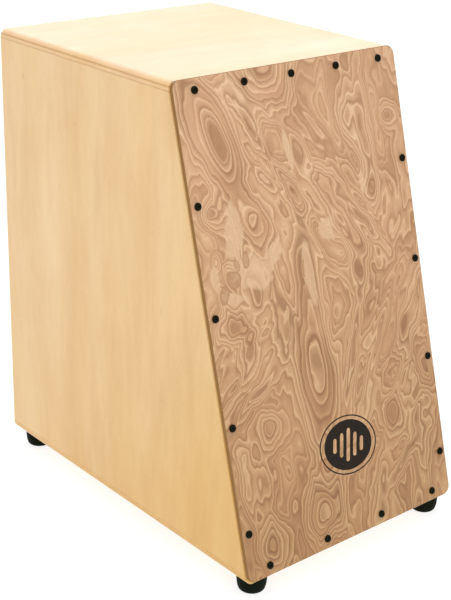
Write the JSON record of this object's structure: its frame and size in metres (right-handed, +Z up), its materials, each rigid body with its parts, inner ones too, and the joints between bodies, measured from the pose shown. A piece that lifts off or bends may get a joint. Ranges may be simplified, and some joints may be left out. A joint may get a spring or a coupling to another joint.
{
  "type": "cajon",
  "caption": "Box drum with a slanted screwed-on playing face, seat top, back sound port, rubber feet and a fixed inner snare.",
  "frame": {"origin": "on the floor under the middle of the bounding box, at the height of the soles of the feet", "axes": "+Z up; the playing face looks along -Y and slants outwards towards the floor, and the flat back with the sound port looks along +Y; +X is to the right when facing the playing face"},
  "size_m": [0.3, 0.4304, 0.5012],
  "materials": {
    "body_plywood": "satin lacquer over pale straight-grained veneer, plies showing at the edges",
    "tapa_veneer": "satin lacquer over figured burl veneer, dark edge",
    "bar_hardwood": "bare planed hardwood",
    "black_screws": "black, semi-gloss",
    "plated_steel": "zinc plated",
    "snare_steel": "bright wire",
    "rubber": "matte black"
  },
  "bodies": {
    "root": {"top_board": "body_plywood", "bottom_board": "body_plywood", "left_side_panel": "body_plywood", "right_side_panel": "body_plywood", "back_panel": "body_plywood", "tapa": "tapa_veneer", "tapa_screw_top_1": "black_screws", "tapa_screw_top_2": "black_screws", "tapa_screw_top_3": "black_screws", "tapa_screw_top_4": "black_screws", "tapa_screw_top_5": "black_screws", "tapa_screw_bottom_1": "black_screws", "tapa_screw_bottom_2": "black_screws", "tapa_screw_bottom_3": "black_screws", "tapa_screw_bottom_4": "black_screws", "tapa_screw_left_1": "black_screws", "tapa_screw_left_2": "black_screws", "tapa_screw_left_3": "black_screws", "tapa_screw_left_4": "black_screws", "tapa_screw_right_1": "black_screws", "tapa_screw_right_2": "black_screws", "tapa_screw_right_3": "black_screws", "tapa_screw_right_4": "black_screws", "foot_front_left": "rubber", "foot_washer_front_left": "plated_steel", "foot_screw_front_left": "plated_steel", "foot_front_right": "rubber", "foot_washer_front_right": "plated_steel", "foot_screw_front_right": "plated_steel", "foot_back_left": "rubber", "foot_washer_back_left": "plated_steel", "foot_screw_back_left": "plated_steel", "foot_back_right": "rubber", "foot_washer_back_right": "plated_steel", "foot_screw_back_right": "plated_steel", "snare_bar": "bar_hardwood", "snare_cleat_left": "bar_hardwood", "bar_screw_left": "black_screws", "cleat_screw_left_upper": "black_screws", "cleat_screw_left_lower": "black_screws", "snare_set_left": "snare_steel", "snare_screw_left_inner": "plated_steel", "snare_screw_left_outer": "plated_steel", "snare_cleat_right": "bar_hardwood", "bar_screw_right": "black_screws", "cleat_screw_right_upper": "black_screws", "cleat_screw_right_lower": "black_screws", "snare_set_right": "snare_steel", "snare_screw_right_inner": "plated_steel", "snare_screw_right_outer": "plated_steel"}
  },
  "joints": []
}
